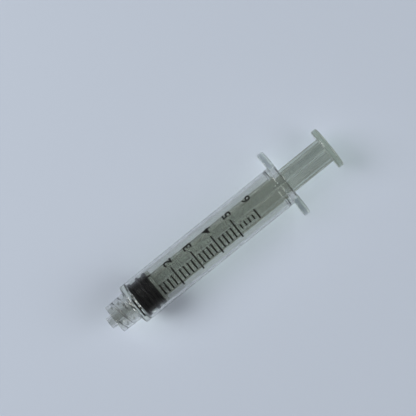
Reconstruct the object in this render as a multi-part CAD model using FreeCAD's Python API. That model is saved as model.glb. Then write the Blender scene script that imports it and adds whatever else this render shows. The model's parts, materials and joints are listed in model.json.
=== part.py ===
import FreeCAD, Part
import math
import os

# A three-piece disposable syringe with a locking luer nozzle, lying on its side.
# It is a clear barrel, a black rubber stopper and a clear plunger, and the scale printed on the barrel.
# Lengths are in millimetres, angles in degrees and a millilitre in cubic millimetres.
# Places along the syringe, named with _x, count from the zero line of the scale and grow to the thumb.
# Places round the syringe are angles from the top, and grow towards -Y.

# Scale and capacity
MILLILITRE = 1000.0
SCALE_ML = 6
SUBDIVISIONS = 5
NOMINAL_ML = 5
OVERDRAW = 1.4

# Barrel tube
BORE_DIAMETER = 12.6
BARREL_WALL = 0.85
MOUTH_LENGTH = 3.25
MOUTH_CHAMFER = 0.5
BEAD_HEIGHT = 0.35
BEAD_LENGTH = 1.0

# Barrel front wall and shoulder
FRONT_WALL = 1.3
SHOULDER_SET_BACK = 0.7
SHOULDER_ROUND = 0.7
INSIDE_ROUND = 0.3

# Finger flange
FLANGE_SPAN = 24.8
FLANGE_FLAT_PROUD = 1.0
FLANGE_THICKNESS = 2.3
FLANGE_CORNER_ROUND = 2.5
FLANGE_EDGE_ROUND = 0.4
FLANGE_ROOT_ROUND = 0.5

# Luer nozzle
LUER_TAPER = 0.06
NOZZLE_TIP_DIAMETER = 3.95
NOZZLE_LENGTH = 9.0
NOZZLE_PROUD = 2.1
NOZZLE_ROUND = 0.2
LUMEN_TIP_DIAMETER = 2.1
LUMEN_BASE_DIAMETER = 2.4

# Locking collar with its two-start thread
THREAD_ROOT_DIAMETER = 8.0
THREAD_CREST_DIAMETER = 7.0
THREAD_LEAD = 5.0
THREAD_STARTS = 2
THREAD_CREST_WIDTH = 0.3
THREAD_BASE_WIDTH = 1.0
THREAD_SINK = 0.15
THREAD_END_GAP = 0.45
COLLAR_WALL = 0.9
COLLAR_DRAFT = 0.2
COLLAR_ROUND = 0.25

# Rubber stopper
STOPPER_FRONT = 1.0
STOPPER_LENGTH = 7.1
STOPPER_CLEARANCE = 0.04
NOSE_HEIGHT = 1.3
NOSE_TIP_DIAMETER = 2.0
NOSE_GAP = 0.12
FRONT_RIB_WIDTH = 1.1
MIDDLE_RIB_WIDTH = 0.9
MIDDLE_RIB_OFFSET = 4.0
BACK_RIB_WIDTH = 1.3
BACK_RIB_RELIEF = 0.2
RECESS_DEPTH = 0.75
RIB_ROUND = 0.2

# Plunger head, held in the socket of the stopper
HEAD_DIAMETER = 6.4
HEAD_LENGTH = 2.0
HEAD_CHAMFER = 0.8
NECK_DIAMETER = 4.4
NECK_LENGTH = 2.6
SOCKET_CLEARANCE = 0.06

# Plunger rod and thumb press
SUPPORT_CLEARANCE = 0.45
SUPPORT_THICKNESS = 1.3
DISC_ROUND = 0.3
ROD_RIBS = 4
ROD_CLEARANCE = 1.15
ROD_RIB = 1.1
ROD_RIB_EDGE_ROUND = 0.25
ROD_CORE_ROUND = 0.5
ROD_TURN = 53.0
ROD_SHOWING = 15.8
THUMB_DIAMETER = 14.7
THUMB_THICKNESS = 2.2
THUMB_ROUND = 0.6
GRIP_RIM = 1.2
GRIP_DEPTH = 0.35
GRIP_GROOVES = 3
GRIP_GROOVE_SHARE = 0.5

# Printed scale
INK_THICKNESS = 0.03
LINE_WIDTH = 0.55
SHORT_LINE_CENTRE = 17.6
SHORT_LINE_ANGLE = 31.2
OVER_LINE_ANGLE = 15.0
LONG_LINE_CENTRE = 15.7
LONG_LINE_ANGLE = 59.8

# Worked out from the sizes above
bore_r = BORE_DIAMETER / 2
barrel_r = bore_r + BARREL_WALL
ml_length = MILLILITRE / (math.pi * bore_r ** 2)
stroke = SCALE_ML * ml_length + OVERDRAW

stopper_front_x = STOPPER_FRONT
stopper_back_x = stopper_front_x + STOPPER_LENGTH
stopper_r = bore_r - STOPPER_CLEARANCE
nose_tip_x = stopper_front_x - NOSE_HEIGHT
chamber_edge_x = stopper_front_x - NOSE_GAP
chamber_floor_x = nose_tip_x - NOSE_GAP

bead_x = stopper_back_x + stroke
mouth_x = bead_x + BEAD_LENGTH + MOUTH_LENGTH
flange_front_x = mouth_x - FLANGE_THICKNESS
flange_flat_z = barrel_r + FLANGE_FLAT_PROUD

collar_floor_x = chamber_floor_x - FRONT_WALL
nozzle_tip_x = collar_floor_x - NOZZLE_LENGTH
collar_front_x = nozzle_tip_x + NOZZLE_PROUD
nozzle_tip_r = NOZZLE_TIP_DIAMETER / 2
nozzle_base_r = nozzle_tip_r + LUER_TAPER / 2 * NOZZLE_LENGTH
thread_root_r = THREAD_ROOT_DIAMETER / 2
thread_crest_r = THREAD_CREST_DIAMETER / 2
collar_front_r = thread_root_r + COLLAR_WALL
collar_base_r = collar_front_r + COLLAR_DRAFT
shoulder_x = collar_floor_x + SHOULDER_SET_BACK

support_front_x = stopper_back_x + SOCKET_CLEARANCE
support_back_x = support_front_x + SUPPORT_THICKNESS
support_r = bore_r - SUPPORT_CLEARANCE
rod_r = bore_r - ROD_CLEARANCE
head_back_x = support_front_x - NECK_LENGTH
head_front_x = head_back_x - HEAD_LENGTH
thumb_front_x = mouth_x + ROD_SHOWING
thumb_back_x = thumb_front_x + THUMB_THICKNESS

# A full turn, and how near two sizes count as the same
FULL_TURN = 360.0
CLOSE = 0.01

AXIS = FreeCAD.Vector(1, 0, 0)
ORIGIN = FreeCAD.Vector(0, 0, 0)

# The part stands with its origin under the middle of its length, on the surface that it lies on.
SET_DOWN = FreeCAD.Vector(-(nozzle_tip_x + thumb_back_x) / 2, 0, flange_flat_z)


def along_and_out(x, r):
    """A point of a turned section: x along the syringe, r out from its axis."""
    return FreeCAD.Vector(x, 0, r)


def across(y, z):
    """A point of an outline seen along the syringe."""
    return FreeCAD.Vector(0, y, z)


def rounded_wire(corners, place):
    """A closed outline through the corners (a, b, radius), with straight sides and tangent arcs."""
    spots = [FreeCAD.Vector(a, b, 0) for a, b, radius in corners]
    starts = []
    middles = []
    ends = []
    for i, (a, b, radius) in enumerate(corners):
        back = (spots[i - 1] - spots[i]).normalize()
        ahead = (spots[(i + 1) % len(spots)] - spots[i]).normalize()
        half = back.getAngle(ahead) / 2
        cut = radius / math.tan(half)
        inward = (back + ahead).normalize() if radius else back
        starts.append(spots[i] + back * cut)
        middles.append(spots[i] + inward * (radius / math.sin(half) - radius))
        ends.append(spots[i] + ahead * cut)
    edges = []
    for i, (a, b, radius) in enumerate(corners):
        start, middle, end = (place(p.x, p.y) for p in (starts[i], middles[i], ends[i]))
        if radius:
            edges.append(Part.Arc(start, middle, end).toShape())
        after = starts[(i + 1) % len(starts)]
        edges.append(Part.LineSegment(end, place(after.x, after.y)).toShape())
    return Part.Wire(edges)


def turned(corners):
    """A solid turned about the syringe's axis from a section of corners (x, r, radius)."""
    return Part.Face(rounded_wire(corners, along_and_out)).revolve(ORIGIN, AXIS, FULL_TURN)


def barrel_section():
    """The section of nozzle, collar, shoulder, tube, stop bead and chamber, in one outline."""
    bead_top_x = bead_x + BEAD_LENGTH / 2
    return [
        (nozzle_tip_x, LUMEN_TIP_DIAMETER / 2, 0),
        (nozzle_tip_x, nozzle_tip_r, NOZZLE_ROUND),
        (collar_floor_x, nozzle_base_r, NOZZLE_ROUND),
        (collar_floor_x, thread_root_r, NOZZLE_ROUND),
        (collar_front_x, thread_root_r, COLLAR_ROUND),
        (collar_front_x, collar_front_r, COLLAR_ROUND),
        (collar_floor_x, collar_base_r, COLLAR_ROUND),
        (shoulder_x, barrel_r, SHOULDER_ROUND),
        (mouth_x, barrel_r, 0),
        (mouth_x, bore_r + MOUTH_CHAMFER, 0),
        (mouth_x - MOUTH_CHAMFER, bore_r, 0),
        (bead_x + BEAD_LENGTH, bore_r, 0),
        (bead_top_x, bore_r - BEAD_HEIGHT, BEAD_LENGTH / 2),
        (bead_x, bore_r, 0),
        (chamber_edge_x, bore_r, INSIDE_ROUND),
        (chamber_floor_x, LUMEN_BASE_DIAMETER / 2, 0),
    ]


def is_corner(edge):
    """Whether an edge of the flange blank is where a flat meets the round."""
    return abs(abs(edge.CenterOfMass.z) - flange_flat_z) < CLOSE


def finger_flange():
    """A round plate with two flats, and a hole that ends inside the tube's wall."""
    blank = Part.makeCylinder(FLANGE_SPAN / 2, FLANGE_THICKNESS, AXIS * flange_front_x, AXIS)
    slab = Part.makeBox(
        FLANGE_THICKNESS,
        FLANGE_SPAN,
        2 * flange_flat_z,
        FreeCAD.Vector(flange_front_x, -FLANGE_SPAN / 2, -flange_flat_z),
    )
    plate = blank.common(slab)
    corners = [e for e in plate.Edges if e.BoundBox.XLength > FLANGE_THICKNESS / 2 and is_corner(e)]
    plate = plate.makeFillet(FLANGE_CORNER_ROUND, corners)
    rims = [e for e in plate.Edges if e.BoundBox.XLength < FLANGE_THICKNESS / 2]
    plate = plate.makeFillet(FLANGE_EDGE_ROUND, rims)
    hole_r = (barrel_r + bore_r) / 2
    return plate.cut(Part.makeCylinder(hole_r, FLANGE_THICKNESS, AXIS * flange_front_x, AXIS))


def thread_ridge(turn):
    """One start of the collar's inside thread, a ridge that is sunk a little into the wall."""
    height = collar_floor_x - collar_front_x - 2 * THREAD_END_GAP - THREAD_BASE_WIDTH
    outer_r = thread_root_r + THREAD_SINK
    helix = Part.makeHelix(THREAD_LEAD, height, outer_r)
    outline = [
        FreeCAD.Vector(outer_r, 0, -THREAD_BASE_WIDTH / 2),
        FreeCAD.Vector(thread_crest_r, 0, -THREAD_CREST_WIDTH / 2),
        FreeCAD.Vector(thread_crest_r, 0, THREAD_CREST_WIDTH / 2),
        FreeCAD.Vector(outer_r, 0, THREAD_BASE_WIDTH / 2),
    ]
    profile = Part.makePolygon(outline + outline[:1])
    ridge = Part.Wire(helix.Edges).makePipeShell([profile], True, True)
    ridge.rotate(ORIGIN, FreeCAD.Vector(0, 1, 0), 90)
    ridge.rotate(ORIGIN, AXIS, turn)
    ridge.translate(AXIS * (collar_front_x + THREAD_END_GAP + THREAD_BASE_WIDTH / 2))
    return ridge


def is_flange_root(edge):
    """Whether an edge is the circle where the flange's front face meets the tube."""
    if not isinstance(edge.Curve, Part.Circle):
        return False
    on_tube = abs(edge.Curve.Radius - barrel_r) < CLOSE
    return on_tube and abs(edge.CenterOfMass.x - flange_front_x) < CLOSE


def barrel():
    """Nozzle, locking collar, tube and finger flange, moulded as one."""
    solid = turned(barrel_section()).fuse(finger_flange())
    solid = solid.removeSplitter()
    root = [e for e in solid.Edges if is_flange_root(e)]
    solid = solid.makeFillet(FLANGE_ROOT_ROUND, root)
    ridges = [thread_ridge(FULL_TURN * i / THREAD_STARTS) for i in range(THREAD_STARTS)]
    return solid.fuse(ridges)


def stopper():
    """The rubber stopper: conical nose, three sealing ribs and the socket for the plunger's head."""
    front = stopper_front_x
    back = stopper_back_x
    recess_r = stopper_r - RECESS_DEPTH
    middle = front + MIDDLE_RIB_OFFSET
    back_r = stopper_r - BACK_RIB_RELIEF
    socket_r = HEAD_DIAMETER / 2 + SOCKET_CLEARANCE
    neck_r = NECK_DIAMETER / 2 + SOCKET_CLEARANCE
    socket_front = head_front_x - SOCKET_CLEARANCE
    lip = head_back_x + SOCKET_CLEARANCE
    return turned([
        (nose_tip_x, 0, 0),
        (nose_tip_x, NOSE_TIP_DIAMETER / 2, 0),
        (front, stopper_r, RIB_ROUND),
        (front + FRONT_RIB_WIDTH, stopper_r, RIB_ROUND),
        (front + FRONT_RIB_WIDTH + RIB_ROUND, recess_r, RIB_ROUND),
        (middle - MIDDLE_RIB_WIDTH / 2 - RIB_ROUND, recess_r, RIB_ROUND),
        (middle - MIDDLE_RIB_WIDTH / 2, stopper_r, RIB_ROUND),
        (middle + MIDDLE_RIB_WIDTH / 2, stopper_r, RIB_ROUND),
        (middle + MIDDLE_RIB_WIDTH / 2 + RIB_ROUND, recess_r, RIB_ROUND),
        (back - BACK_RIB_WIDTH - RIB_ROUND, recess_r, RIB_ROUND),
        (back - BACK_RIB_WIDTH, back_r, RIB_ROUND),
        (back, back_r, RIB_ROUND),
        (back, neck_r, 0),
        (lip, neck_r, 0),
        (lip, socket_r, 0),
        (socket_front + HEAD_CHAMFER, socket_r, 0),
        (socket_front, socket_r - HEAD_CHAMFER, 0),
        (socket_front, 0, 0),
    ])


def plunger_head():
    """The button on its neck, which the stopper is pressed over."""
    head_r = HEAD_DIAMETER / 2
    return turned([
        (head_front_x, 0, 0),
        (head_front_x, head_r - HEAD_CHAMFER, 0),
        (head_front_x + HEAD_CHAMFER, head_r, 0),
        (head_back_x, head_r, 0),
        (head_back_x, NECK_DIAMETER / 2, 0),
        (support_back_x, NECK_DIAMETER / 2, 0),
        (support_back_x, 0, 0),
    ])


def support_disc():
    """The disc behind the stopper, which pushes it and keeps the rod central in the bore."""
    return turned([
        (support_front_x, 0, 0),
        (support_front_x, support_r, DISC_ROUND),
        (support_back_x, support_r, DISC_ROUND),
        (support_back_x, 0, 0),
    ])


def rod():
    """The rod's ribs, one cross-shaped outline drawn out from disc to thumb press."""
    half = ROD_RIB / 2
    corners = []
    for rib in range(ROD_RIBS):
        turn = math.radians(FULL_TURN / ROD_RIBS * rib + ROD_TURN)
        for out, side, radius in (
            (half, -half, ROD_CORE_ROUND),
            (rod_r, -half, ROD_RIB_EDGE_ROUND),
            (rod_r, half, ROD_RIB_EDGE_ROUND),
        ):
            y = out * math.cos(turn) - side * math.sin(turn)
            z = out * math.sin(turn) + side * math.cos(turn)
            corners.append((y, z, radius))
    face = Part.Face(rounded_wire(corners, across))
    length = thumb_front_x - support_back_x + DISC_ROUND
    ribs = face.extrude(AXIS * length)
    ribs.translate(AXIS * (support_back_x - DISC_ROUND / 2))
    return ribs


def thumb_press():
    """The thumb press, with ring grooves in its back face inside a plain rim."""
    edge_r = THUMB_DIAMETER / 2
    floor_x = thumb_back_x - GRIP_DEPTH
    corners = [
        (thumb_front_x, 0, 0),
        (thumb_front_x, edge_r, THUMB_ROUND),
        (thumb_back_x, edge_r, THUMB_ROUND),
    ]
    rings_r = edge_r - THUMB_ROUND - GRIP_RIM
    band = rings_r / (GRIP_GROOVES + GRIP_GROOVE_SHARE)
    for i in range(GRIP_GROOVES):
        outer = rings_r - i * band
        inner = outer - band * GRIP_GROOVE_SHARE
        corners.append((thumb_back_x, outer, 0))
        corners.append((floor_x, outer - GRIP_DEPTH / 2, 0))
        corners.append((floor_x, inner + GRIP_DEPTH / 2, 0))
        corners.append((thumb_back_x, inner, 0))
    corners.append((thumb_back_x, 0, 0))
    return turned(corners)


def plunger():
    """Head, support disc, cross-shaped rod and thumb press, moulded as one."""
    solid = plunger_head().fuse([support_disc(), rod(), thumb_press()])
    return solid.removeSplitter()


def scale_line(x, centre, span):
    """One printed line: a thin arc of ink that lies on the tube."""
    half = LINE_WIDTH / 2
    outline = [
        along_and_out(x - half, barrel_r),
        along_and_out(x + half, barrel_r),
        along_and_out(x + half, barrel_r + INK_THICKNESS),
        along_and_out(x - half, barrel_r + INK_THICKNESS),
    ]
    face = Part.Face(Part.makePolygon(outline + outline[:1]))
    face.rotate(ORIGIN, AXIS, centre - span / 2)
    return face.revolve(ORIGIN, AXIS, span)


def scale_print():
    """Every line of the scale: long at each millilitre, short between, shortest past the nominal."""
    lines = []
    for step in range(SCALE_ML * SUBDIVISIONS + 1):
        millilitres = step / SUBDIVISIONS
        whole = step % SUBDIVISIONS == 0
        centre = SHORT_LINE_CENTRE
        span = SHORT_LINE_ANGLE
        if whole and millilitres <= NOMINAL_ML:
            centre = LONG_LINE_CENTRE
            span = LONG_LINE_ANGLE
        elif not whole and millilitres > NOMINAL_ML:
            span = OVER_LINE_ANGLE
        lines.append(scale_line(millilitres * ml_length, centre, span))
    return Part.makeCompound(lines)


NODES = {
    "barrel": barrel,
    "stopper": stopper,
    "plunger": plunger,
    "scale_print": scale_print,
}

os.makedirs("parts", exist_ok=True)
for name, make in NODES.items():
    shape = make()
    shape.translate(SET_DOWN)
    shape.exportStep("parts/" + name + ".step")
    box = shape.optimalBoundingBox()
    print(name, "solids", len(shape.Solids), "valid", shape.isValid(), "volume", round(shape.Volume, 1))
    print("  X", round(box.XMin, 3), round(box.XMax, 3), "Y", round(box.YMin, 3), round(box.YMax, 3))
    print("  Z", round(box.ZMin, 3), round(box.ZMax, 3))
print("full stroke", round(stroke, 3))
print("axis height", SET_DOWN.z, "zero line at X", round(SET_DOWN.x, 3))
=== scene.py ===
import json
import math

import bmesh
import bpy
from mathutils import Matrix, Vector


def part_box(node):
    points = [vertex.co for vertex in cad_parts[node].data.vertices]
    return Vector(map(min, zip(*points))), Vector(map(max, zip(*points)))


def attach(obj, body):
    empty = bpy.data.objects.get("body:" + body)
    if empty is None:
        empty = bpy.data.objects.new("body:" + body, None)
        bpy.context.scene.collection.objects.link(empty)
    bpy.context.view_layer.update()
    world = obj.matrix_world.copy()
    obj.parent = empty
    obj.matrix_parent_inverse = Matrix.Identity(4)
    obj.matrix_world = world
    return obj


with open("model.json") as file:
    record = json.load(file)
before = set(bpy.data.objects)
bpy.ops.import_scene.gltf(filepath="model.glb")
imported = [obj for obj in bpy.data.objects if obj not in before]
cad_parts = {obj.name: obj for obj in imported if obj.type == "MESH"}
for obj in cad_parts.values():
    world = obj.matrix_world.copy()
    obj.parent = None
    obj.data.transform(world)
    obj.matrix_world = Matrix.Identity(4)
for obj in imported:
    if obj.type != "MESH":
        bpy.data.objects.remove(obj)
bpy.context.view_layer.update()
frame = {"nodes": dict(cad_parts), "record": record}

# A disposable syringe with a locking luer nozzle, lying on a pale table and seen from straight above.
# Lengths are in metres. The scale's numerals are added here, and every surface gets its finish.

MM = 0.001

# Places read from the frame
mounts = {mount["name"]: mount for mount in frame["record"]["mounts"]}
tube = mounts["barrel_tube"]
AXIS_Z = tube["pos_m"][2]
TUBE_R = tube["dims"]["r_mm"] * MM
print_low, print_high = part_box("scale_print")

# The printed scale
LAST_MILLILITRE = 6
LINE_WIDTH = 0.55 * MM
INK_THICKNESS = 0.03 * MM
ZERO_X = print_low.x + LINE_WIDTH / 2
MILLILITRE = (print_high.x - print_low.x - LINE_WIDTH) / LAST_MILLILITRE
NUMERAL_HEIGHT = 3.15 * MM
NUMERAL_WEIGHT = 0.02
NUMERAL_ANGLE = math.radians(31.2)
NUMERAL_STRIP = 0.15 * MM
ONE_SHIFT = 0.45 * MM
CURVE_STEPS = 6
WELD = 0.001 * MM
INK_LIFT = 0.004 * MM

# The camera looks straight down, and the syringe rises to the right of the picture.
FRAME_WIDTH = 133.2 * MM
CAMERA_DISTANCE = 900 * MM
CLIP_START = 10 * MM
SENSOR = 36.0
AIM = Vector((2.5 * MM, 9.1 * MM, AXIS_Z))
CAMERA_TURN = math.radians(-38.9)

# The light: two round lamps, each with its place, width and power, and a sky that glows near its edge
KEY_PLACE = (-0.42, 0.45, 0.6)
KEY_WIDTH = 0.56
KEY_POWER = 7.05
FILL_PLACE = (0.5, -0.4, 0.5)
FILL_WIDTH = 0.68
FILL_POWER = 4.2
SKY_COLOUR = (0.93, 0.97, 1.0)
SKY_EDGE_HEIGHT = 0.05
SKY_EDGE_GLOW = 0.35
SKY_TOP_HEIGHT = 0.35
SKY_TOP_GLOW = 0.05
TABLE_HALF = 3.0
TABLE_COLOUR = (0.470, 0.52, 0.602)
TABLE_ROUGHNESS = 0.9
TABLE_GLOSS = 0.1

# The plastics, the rubber and the ink. Less green is taken than red and blue, which gives the green cast.
POLYPROPYLENE_IOR = 1.49
LIGHT_TAKEN = (0.90, 0.72, 1.0)
FLOW_SIZE = 1.6 * MM
FLOW_STRETCH = (9, 1, 1)
WAVE_SIZE = 3.5 * MM
WAVE_STRETCH = (5, 1, 1)
FINE_BUMP_SIZE = 0.25 * MM
FINE_BUMP_DEPTH = 0.002 * MM
NOISE_LOW = 0.3
NOISE_HIGH = 0.7
RUBBER_GLOSS = 0.10
RUBBER_BUMP_DEPTH = 0.006 * MM
INK_GLOSS = 0.12
INK_BUMP_DEPTH = 0.003 * MM


def camera():
    """The camera, straight above the table at the photograph's turn and scale."""
    data = bpy.data.cameras.new("camera")
    data.sensor_width = SENSOR
    data.lens = SENSOR * CAMERA_DISTANCE / FRAME_WIDTH
    data.clip_start = CLIP_START
    obj = bpy.data.objects.new("camera", data)
    obj.location = AIM + Vector((0, 0, CAMERA_DISTANCE))
    obj.rotation_euler = (0, 0, CAMERA_TURN)
    bpy.context.scene.collection.objects.link(obj)
    bpy.context.scene.camera = obj


def round_lamp(name, place, width, power):
    """A round lamp at place, turned to the syringe."""
    data = bpy.data.lights.new(name, "AREA")
    data.shape = "DISK"
    data.size = width
    data.energy = power
    obj = bpy.data.objects.new(name, data)
    obj.location = place
    obj.rotation_euler = (AIM - Vector(place)).to_track_quat("-Z", "Y").to_euler()
    bpy.context.scene.collection.objects.link(obj)


def light_and_floor():
    """Plain soft light and a plain pale table."""
    world = bpy.data.worlds.new("studio")
    bpy.context.scene.world = world
    world.use_nodes = True
    nodes = world.node_tree.nodes
    links = world.node_tree.links
    height = nodes.new("ShaderNodeSeparateXYZ")
    links.new(nodes.new("ShaderNodeTexCoord").outputs["Generated"], height.inputs["Vector"])
    glow = nodes.new("ShaderNodeMapRange")
    glow.interpolation_type = "SMOOTHSTEP"
    glow.inputs["From Min"].default_value = SKY_EDGE_HEIGHT
    glow.inputs["From Max"].default_value = SKY_TOP_HEIGHT
    glow.inputs["To Min"].default_value = SKY_EDGE_GLOW
    glow.inputs["To Max"].default_value = SKY_TOP_GLOW
    links.new(height.outputs["Z"], glow.inputs["Value"])
    sky = nodes["Background"]
    sky.inputs["Color"].default_value = (*SKY_COLOUR, 1)
    links.new(glow.outputs["Result"], sky.inputs["Strength"])
    round_lamp("key", KEY_PLACE, KEY_WIDTH, KEY_POWER)
    round_lamp("fill", FILL_PLACE, FILL_WIDTH, FILL_POWER)

    mesh = bpy.data.meshes.new("table")
    corners = [(x * TABLE_HALF, y * TABLE_HALF, 0) for x, y in ((-1, -1), (1, -1), (1, 1), (-1, 1))]
    mesh.from_pydata(corners, [], [(0, 1, 2, 3)])
    table = bpy.data.objects.new("table", mesh)
    bpy.context.scene.collection.objects.link(table)
    material = bpy.data.materials.new("table")
    material.use_nodes = True
    shader = material.node_tree.nodes["Principled BSDF"]
    shader.inputs["Base Color"].default_value = (*TABLE_COLOUR, 1)
    shader.inputs["Roughness"].default_value = TABLE_ROUGHNESS
    shader.inputs["Specular IOR Level"].default_value = TABLE_GLOSS
    table.data.materials.append(material)


class Surface:
    """A material under construction: its nodes, its links and its Principled shader."""

    def __init__(self, name):
        self.material = bpy.data.materials.new(name)
        self.material.use_nodes = True
        self.nodes = self.material.node_tree.nodes
        self.links = self.material.node_tree.links
        self.shader = self.nodes["Principled BSDF"]
        self.place = self.nodes.new("ShaderNodeTexCoord").outputs["Object"]

    def noise(self, size, detail=3.0, stretch=(1, 1, 1)):
        """Noise with features about size metres across, drawn out by stretch."""
        mapping = self.nodes.new("ShaderNodeMapping")
        mapping.inputs["Scale"].default_value = [1 / (size * s) for s in stretch]
        self.links.new(self.place, mapping.inputs["Vector"])
        node = self.nodes.new("ShaderNodeTexNoise")
        node.inputs["Scale"].default_value = 1.0
        node.inputs["Detail"].default_value = detail
        self.links.new(mapping.outputs["Vector"], node.inputs["Vector"])
        return node.outputs["Fac"]

    def between(self, value, low, high):
        """value, from a noise, spread over low to high."""
        node = self.nodes.new("ShaderNodeMapRange")
        node.inputs["From Min"].default_value = NOISE_LOW
        node.inputs["From Max"].default_value = NOISE_HIGH
        node.inputs["To Min"].default_value = low
        node.inputs["To Max"].default_value = high
        self.links.new(value, node.inputs["Value"])
        return node.outputs["Result"]

    def shades(self, value, dark, light):
        """A colour between dark and light by value."""
        node = self.nodes.new("ShaderNodeMix")
        node.data_type = "RGBA"
        self.links.new(self.between(value, 0.0, 1.0), node.inputs["Factor"])
        low, high = [socket for socket in node.inputs if socket.type == "RGBA"]
        low.default_value = (*dark, 1)
        high.default_value = (*light, 1)
        mixed = next(socket for socket in node.outputs if socket.type == "RGBA")
        self.links.new(mixed, self.shader.inputs["Base Color"])

    def roughness(self, value, low, high):
        """A roughness between low and high by value."""
        self.links.new(self.between(value, low, high), self.shader.inputs["Roughness"])

    def bump(self, value, depth, onto=None):
        """A bump of the given depth in metres, laid over an earlier one."""
        node = self.nodes.new("ShaderNodeBump")
        node.inputs["Strength"].default_value = 1.0
        node.inputs["Distance"].default_value = depth
        self.links.new(value, node.inputs["Height"])
        if onto is not None:
            self.links.new(onto, node.inputs["Normal"])
        return node.outputs["Normal"]

    def lets_lamps_through(self, tint):
        """Light from lamps passes the plastic with a tint, so that what lies behind it is lit."""
        clear = self.nodes.new("ShaderNodeBsdfTransparent")
        clear.inputs["Color"].default_value = (*tint, 1)
        path = self.nodes.new("ShaderNodeLightPath")
        mix = self.nodes.new("ShaderNodeMixShader")
        self.links.new(path.outputs["Is Shadow Ray"], mix.inputs["Fac"])
        self.links.new(self.shader.outputs["BSDF"], mix.inputs[1])
        self.links.new(clear.outputs["BSDF"], mix.inputs[2])
        self.links.new(mix.outputs["Shader"], self.nodes["Material Output"].inputs["Surface"])


def clear_plastic(name, dark, light, rough, tint, clearness, depth, waves):
    """Natural polypropylene: see-through, a little milky, with faint flow marks along the moulding.

    dark and light are its two shades, and rough is its range of roughness. tint is what lamp light keeps
    on its way through, and clearness the share of light that goes in. Over depth metres, red, green and
    blue fall to exp(-LIGHT_TAKEN). waves is how deep the soft waves of its surface are.
    """
    s = Surface(name)
    inside = s.nodes.new("ShaderNodeVolumeAbsorption")
    inside.inputs["Color"].default_value = [1 - share for share in LIGHT_TAKEN] + [1]
    inside.inputs["Density"].default_value = 1 / depth
    s.links.new(inside.outputs["Volume"], s.nodes["Material Output"].inputs["Volume"])
    s.shader.inputs["Transmission Weight"].default_value = clearness
    s.shader.inputs["IOR"].default_value = POLYPROPYLENE_IOR
    flow = s.noise(FLOW_SIZE, 4.0, FLOW_STRETCH)
    s.shades(flow, dark, light)
    s.roughness(s.noise(0.5 * MM), *rough)
    wave = s.bump(s.noise(WAVE_SIZE, 2.0, WAVE_STRETCH), waves)
    fine = s.bump(s.noise(FINE_BUMP_SIZE, 4.0), FINE_BUMP_DEPTH, wave)
    s.links.new(fine, s.shader.inputs["Normal"])
    s.lets_lamps_through(tint)
    return s.material


def rubber():
    """Black moulded rubber, matt, with a fine uneven skin."""
    s = Surface("stopper_rubber_finish")
    s.shades(s.noise(0.8 * MM, 5.0), (0.002, 0.002, 0.003), (0.006, 0.006, 0.007))
    s.roughness(s.noise(0.6 * MM, 4.0), 0.45, 0.62)
    s.shader.inputs["Specular IOR Level"].default_value = RUBBER_GLOSS
    s.links.new(s.bump(s.noise(0.15 * MM, 4.0), RUBBER_BUMP_DEPTH), s.shader.inputs["Normal"])
    return s.material


def ink():
    """Black print with a slightly uneven film."""
    s = Surface("scale_ink_finish")
    s.shades(s.noise(0.35 * MM, 5.0), (0.003, 0.003, 0.003), (0.012, 0.012, 0.012))
    s.roughness(s.noise(0.2 * MM), 0.45, 0.7)
    s.shader.inputs["Specular IOR Level"].default_value = INK_GLOSS
    s.links.new(s.bump(s.noise(0.12 * MM, 3.0), INK_BUMP_DEPTH), s.shader.inputs["Normal"])
    return s.material


def glyph(digit):
    """The outline of a digit as a flat mesh, in its font's own units and place."""
    curve = bpy.data.curves.new("digit", "FONT")
    curve.body = str(digit)
    curve.resolution_u = CURVE_STEPS
    curve.offset = NUMERAL_WEIGHT
    text = bpy.data.objects.new("digit", curve)
    bpy.context.scene.collection.objects.link(text)
    bpy.context.view_layer.update()
    mesh = bpy.data.meshes.new_from_object(text.evaluated_get(bpy.context.evaluated_depsgraph_get()))
    bpy.data.objects.remove(text)
    bpy.data.curves.remove(curve)
    return mesh


def extent(mesh, axis):
    """The lowest and highest coordinate of a mesh along one axis."""
    along = [v.co[axis] for v in mesh.vertices]
    return min(along), max(along)


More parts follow.
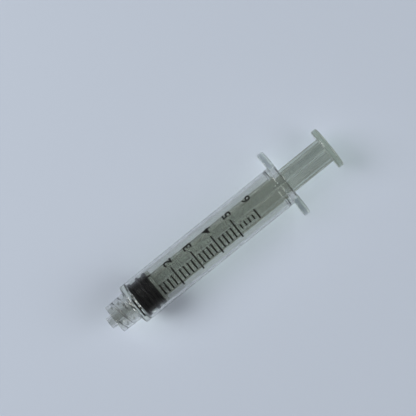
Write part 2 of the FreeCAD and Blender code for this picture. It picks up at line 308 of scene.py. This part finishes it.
def numeral(digit, size, middle):
    """A digit beside its line, wrapped round the tube and raised by the ink's thickness."""
    flat = glyph(digit)
    shift = Vector((ONE_SHIFT if digit == 1 else 0, 0, 0))
    for v in flat.vertices:
        v.co = (v.co - middle) * size + shift
    left, right = extent(flat, 0)
    bm = bmesh.new()
    bm.from_mesh(flat)
    bpy.data.meshes.remove(flat)
    bmesh.ops.remove_doubles(bm, verts=bm.verts, dist=WELD)
    cut = left + NUMERAL_STRIP
    while cut < right:
        geometry = bm.verts[:] + bm.edges[:] + bm.faces[:]
        bmesh.ops.bisect_plane(bm, geom=geometry, plane_co=(cut, 0, 0), plane_no=(1, 0, 0))
        cut += NUMERAL_STRIP
    raised = bmesh.ops.extrude_face_region(bm, geom=bm.faces[:])
    top = {v for v in raised["geom"] if isinstance(v, bmesh.types.BMVert)}
    line_x = ZERO_X + digit * MILLILITRE
    for v in bm.verts:
        r = TUBE_R + (INK_THICKNESS if v in top else INK_LIFT)
        angle = NUMERAL_ANGLE + v.co.x / TUBE_R
        v.co = (line_x - v.co.y, r * math.sin(angle), AXIS_Z + r * math.cos(angle))
    bmesh.ops.recalc_face_normals(bm, faces=bm.faces[:])
    mesh = bpy.data.meshes.new("numeral")
    bm.to_mesh(mesh)
    bm.free()
    return mesh


def numerals():
    """The digits 1 to 6 in one piece, each in its font's place round the middle of a nought."""
    nought = glyph(0)
    left, right = extent(nought, 0)
    low, high = extent(nought, 1)
    bpy.data.meshes.remove(nought)
    size = NUMERAL_HEIGHT / (high - low)
    middle = Vector((left + right, low + high, 0)) / 2
    whole = bmesh.new()
    for digit in range(1, LAST_MILLILITRE + 1):
        one = numeral(digit, size, middle)
        whole.from_mesh(one)
        bpy.data.meshes.remove(one)
    mesh = bpy.data.meshes.new("scale_numerals")
    whole.to_mesh(mesh)
    whole.free()
    obj = bpy.data.objects.new("scale_numerals", mesh)
    bpy.context.scene.collection.objects.link(obj)
    return obj


def dress(node, material):
    """A node of the frame gets its finish."""
    node.data.materials.clear()
    node.data.materials.append(material)


bpy.context.scene.view_settings.view_transform = "Standard"
camera()
light_and_floor()

nodes = frame["nodes"]
barrel_finish = clear_plastic(
    "barrel_finish",
    dark=(0.785, 0.79, 0.767),
    light=(0.837, 0.842, 0.817),
    rough=(0.05, 0.10),
    tint=(0.905, 0.91, 0.90),
    clearness=1.0,
    depth=110 * MM,
    waves=0.006 * MM,
)
dress(nodes["barrel"], barrel_finish)
plunger_finish = clear_plastic(
    "plunger_finish",
    dark=(0.505, 0.535, 0.510),
    light=(0.575, 0.607, 0.580),
    rough=(0.06, 0.12),
    tint=(0.78, 0.80, 0.78),
    clearness=0.90,
    depth=45 * MM,
    waves=0.0015 * MM,
)
dress(nodes["plunger"], plunger_finish)
dress(nodes["stopper"], rubber())
black = ink()
dress(nodes["scale_print"], black)

digits = numerals()
digits.data.materials.append(black)
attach(digits, "barrel")
